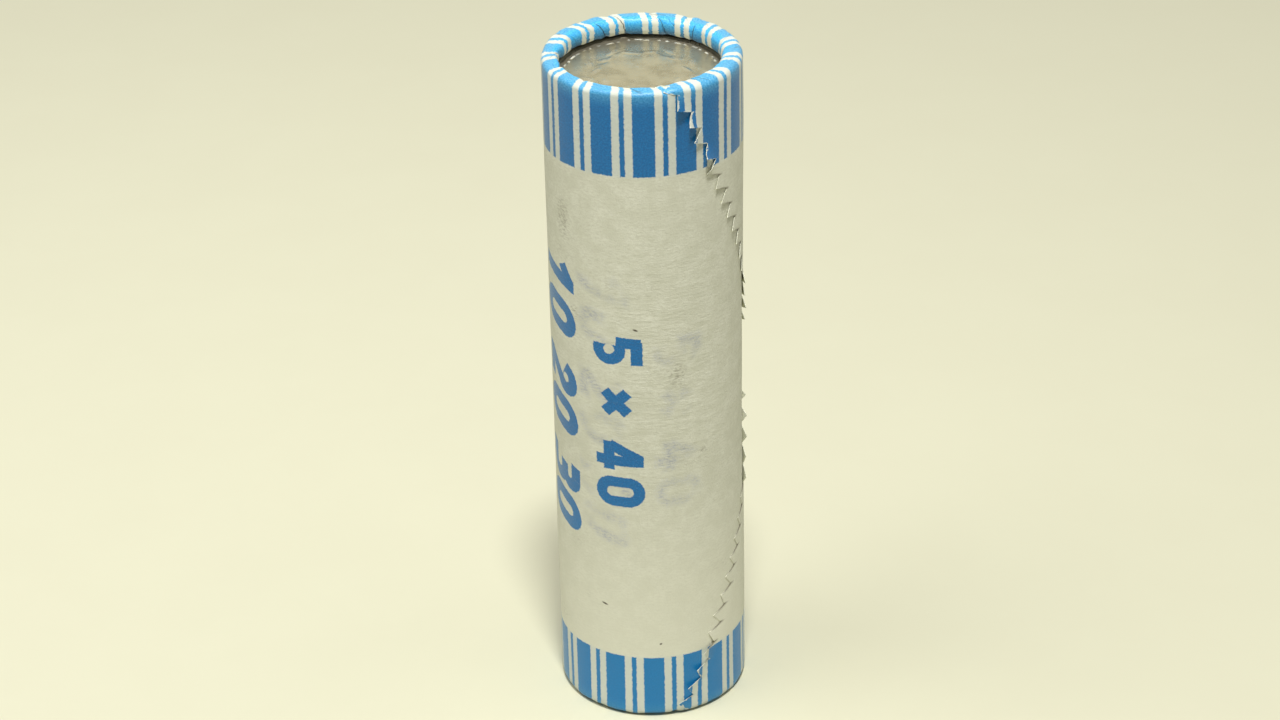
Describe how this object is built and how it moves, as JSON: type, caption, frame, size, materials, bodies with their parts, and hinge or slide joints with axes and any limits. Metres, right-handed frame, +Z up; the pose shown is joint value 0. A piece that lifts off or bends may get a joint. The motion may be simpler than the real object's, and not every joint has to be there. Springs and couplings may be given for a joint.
{
  "type": "coin roll",
  "caption": "Upright cylinder of stacked five-cent coins held in a wound, striped paper wrapper with rolled rims at both ends.",
  "frame": {"origin": "centre of the roll at the level of its lower rim, which it stands on", "axes": "+Z up along the roll's axis, -Y out of the front that the picture shows"},
  "size_m": [0.0224, 0.0224, 0.0823],
  "materials": {
    "wrapper_paper": "uncoated off-white paper with blue stripes printed round both ends",
    "coin_metal": "worn, bright copper-nickel"
  },
  "bodies": {
    "wrapper": {"paper_wrapper": "wrapper_paper"},
    "coin_01": {"coin_01": "coin_metal"},
    "coin_02": {"coin_02": "coin_metal"},
    "coin_03": {"coin_03": "coin_metal"},
    "coin_04": {"coin_04": "coin_metal"},
    "coin_05": {"coin_05": "coin_metal"},
    "coin_06": {"coin_06": "coin_metal"},
    "coin_07": {"coin_07": "coin_metal"},
    "coin_08": {"coin_08": "coin_metal"},
    "coin_09": {"coin_09": "coin_metal"},
    "coin_10": {"coin_10": "coin_metal"},
    "coin_11": {"coin_11": "coin_metal"},
    "coin_12": {"coin_12": "coin_metal"},
    "coin_13": {"coin_13": "coin_metal"},
    "coin_14": {"coin_14": "coin_metal"},
    "coin_15": {"coin_15": "coin_metal"},
    "coin_16": {"coin_16": "coin_metal"},
    "coin_17": {"coin_17": "coin_metal"},
    "coin_18": {"coin_18": "coin_metal"},
    "coin_19": {"coin_19": "coin_metal"},
    "coin_20": {"coin_20": "coin_metal"},
    "coin_21": {"coin_21": "coin_metal"},
    "coin_22": {"coin_22": "coin_metal"},
    "coin_23": {"coin_23": "coin_metal"},
    "coin_24": {"coin_24": "coin_metal"},
    "coin_25": {"coin_25": "coin_metal"},
    "coin_26": {"coin_26": "coin_metal"},
    "coin_27": {"coin_27": "coin_metal"},
    "coin_28": {"coin_28": "coin_metal"},
    "coin_29": {"coin_29": "coin_metal"},
    "coin_30": {"coin_30": "coin_metal"},
    "coin_31": {"coin_31": "coin_metal"},
    "coin_32": {"coin_32": "coin_metal"},
    "coin_33": {"coin_33": "coin_metal"},
    "coin_34": {"coin_34": "coin_metal"},
    "coin_35": {"coin_35": "coin_metal"},
    "coin_36": {"coin_36": "coin_metal"},
    "coin_37": {"coin_37": "coin_metal"},
    "coin_38": {"coin_38": "coin_metal"},
    "coin_39": {"coin_39": "coin_metal"},
    "coin_40": {"coin_40": "coin_metal"}
  },
  "joints": [
    {"name": "coin_01_turn", "type": "hinge", "parent": "wrapper", "child": "coin_01", "pos_m": [0, 0, 0.07901], "axis": [0, 0, 1], "continuous": true},
    {"name": "coin_02_turn", "type": "hinge", "parent": "wrapper", "child": "coin_02", "pos_m": [0, 0, 0.07706], "axis": [0, 0, 1], "continuous": true},
    {"name": "coin_03_turn", "type": "hinge", "parent": "wrapper", "child": "coin_03", "pos_m": [0, 0, 0.0751], "axis": [0, 0, 1], "continuous": true},
    {"name": "coin_04_turn", "type": "hinge", "parent": "wrapper", "child": "coin_04", "pos_m": [0, 0, 0.07315], "axis": [0, 0, 1], "continuous": true},
    {"name": "coin_05_turn", "type": "hinge", "parent": "wrapper", "child": "coin_05", "pos_m": [0, 0, 0.07119], "axis": [0, 0, 1], "continuous": true},
    {"name": "coin_06_turn", "type": "hinge", "parent": "wrapper", "child": "coin_06", "pos_m": [0, 0, 0.06924], "axis": [0, 0, 1], "continuous": true},
    {"name": "coin_07_turn", "type": "hinge", "parent": "wrapper", "child": "coin_07", "pos_m": [0, 0, 0.06729], "axis": [0, 0, 1], "continuous": true},
    {"name": "coin_08_turn", "type": "hinge", "parent": "wrapper", "child": "coin_08", "pos_m": [0, 0, 0.06533], "axis": [0, 0, 1], "continuous": true},
    {"name": "coin_09_turn", "type": "hinge", "parent": "wrapper", "child": "coin_09", "pos_m": [0, 0, 0.06338], "axis": [0, 0, 1], "continuous": true},
    {"name": "coin_10_turn", "type": "hinge", "parent": "wrapper", "child": "coin_10", "pos_m": [0, 0, 0.06143], "axis": [0, 0, 1], "continuous": true},
    {"name": "coin_11_turn", "type": "hinge", "parent": "wrapper", "child": "coin_11", "pos_m": [0, 0, 0.05947], "axis": [0, 0, 1], "continuous": true},
    {"name": "coin_12_turn", "type": "hinge", "parent": "wrapper", "child": "coin_12", "pos_m": [0, 0, 0.05752], "axis": [0, 0, 1], "continuous": true},
    {"name": "coin_13_turn", "type": "hinge", "parent": "wrapper", "child": "coin_13", "pos_m": [0, 0, 0.05556], "axis": [0, 0, 1], "continuous": true},
    {"name": "coin_14_turn", "type": "hinge", "parent": "wrapper", "child": "coin_14", "pos_m": [0, 0, 0.05361], "axis": [0, 0, 1], "continuous": true},
    {"name": "coin_15_turn", "type": "hinge", "parent": "wrapper", "child": "coin_15", "pos_m": [0, 0, 0.05165], "axis": [0, 0, 1], "continuous": true},
    {"name": "coin_16_turn", "type": "hinge", "parent": "wrapper", "child": "coin_16", "pos_m": [0, 0, 0.0497], "axis": [0, 0, 1], "continuous": true},
    {"name": "coin_17_turn", "type": "hinge", "parent": "wrapper", "child": "coin_17", "pos_m": [0, 0, 0.04775], "axis": [0, 0, 1], "continuous": true},
    {"name": "coin_18_turn", "type": "hinge", "parent": "wrapper", "child": "coin_18", "pos_m": [0, 0, 0.04579], "axis": [0, 0, 1], "continuous": true},
    {"name": "coin_19_turn", "type": "hinge", "parent": "wrapper", "child": "coin_19", "pos_m": [0, 0, 0.04384], "axis": [0, 0, 1], "continuous": true},
    {"name": "coin_20_turn", "type": "hinge", "parent": "wrapper", "child": "coin_20", "pos_m": [0, 0, 0.04188], "axis": [0, 0, 1], "continuous": true},
    {"name": "coin_21_turn", "type": "hinge", "parent": "wrapper", "child": "coin_21", "pos_m": [0, 0, 0.03993], "axis": [0, 0, 1], "continuous": true},
    {"name": "coin_22_turn", "type": "hinge", "parent": "wrapper", "child": "coin_22", "pos_m": [0, 0, 0.03798], "axis": [0, 0, 1], "continuous": true},
    {"name": "coin_23_turn", "type": "hinge", "parent": "wrapper", "child": "coin_23", "pos_m": [0, 0, 0.03602], "axis": [0, 0, 1], "continuous": true},
    {"name": "coin_24_turn", "type": "hinge", "parent": "wrapper", "child": "coin_24", "pos_m": [0, 0, 0.03407], "axis": [0, 0, 1], "continuous": true},
    {"name": "coin_25_turn", "type": "hinge", "parent": "wrapper", "child": "coin_25", "pos_m": [0, 0, 0.03211], "axis": [0, 0, 1], "continuous": true},
    {"name": "coin_26_turn", "type": "hinge", "parent": "wrapper", "child": "coin_26", "pos_m": [0, 0, 0.03016], "axis": [0, 0, 1], "continuous": true},
    {"name": "coin_27_turn", "type": "hinge", "parent": "wrapper", "child": "coin_27", "pos_m": [0, 0, 0.02821], "axis": [0, 0, 1], "continuous": true},
    {"name": "coin_28_turn", "type": "hinge", "parent": "wrapper", "child": "coin_28", "pos_m": [0, 0, 0.02625], "axis": [0, 0, 1], "continuous": true},
    {"name": "coin_29_turn", "type": "hinge", "parent": "wrapper", "child": "coin_29", "pos_m": [0, 0, 0.0243], "axis": [0, 0, 1], "continuous": true},
    {"name": "coin_30_turn", "type": "hinge", "parent": "wrapper", "child": "coin_30", "pos_m": [0, 0, 0.02235], "axis": [0, 0, 1], "continuous": true},
    {"name": "coin_31_turn", "type": "hinge", "parent": "wrapper", "child": "coin_31", "pos_m": [0, 0, 0.02039], "axis": [0, 0, 1], "continuous": true},
    {"name": "coin_32_turn", "type": "hinge", "parent": "wrapper", "child": "coin_32", "pos_m": [0, 0, 0.01844], "axis": [0, 0, 1], "continuous": true},
    {"name": "coin_33_turn", "type": "hinge", "parent": "wrapper", "child": "coin_33", "pos_m": [0, 0, 0.01648], "axis": [0, 0, 1], "continuous": true},
    {"name": "coin_34_turn", "type": "hinge", "parent": "wrapper", "child": "coin_34", "pos_m": [0, 0, 0.01453], "axis": [0, 0, 1], "continuous": true},
    {"name": "coin_35_turn", "type": "hinge", "parent": "wrapper", "child": "coin_35", "pos_m": [0, 0, 0.01257], "axis": [0, 0, 1], "continuous": true},
    {"name": "coin_36_turn", "type": "hinge", "parent": "wrapper", "child": "coin_36", "pos_m": [0, 0, 0.01062], "axis": [0, 0, 1], "continuous": true},
    {"name": "coin_37_turn", "type": "hinge", "parent": "wrapper", "child": "coin_37", "pos_m": [0, 0, 0.00867], "axis": [0, 0, 1], "continuous": true},
    {"name": "coin_38_turn", "type": "hinge", "parent": "wrapper", "child": "coin_38", "pos_m": [0, 0, 0.00671], "axis": [0, 0, 1], "continuous": true},
    {"name": "coin_39_turn", "type": "hinge", "parent": "wrapper", "child": "coin_39", "pos_m": [0, 0, 0.00476], "axis": [0, 0, 1], "continuous": true},
    {"name": "coin_40_turn", "type": "hinge", "parent": "wrapper", "child": "coin_40", "pos_m": [0, 0, 0.00281], "axis": [0, 0, 1], "continuous": true}
  ]
}
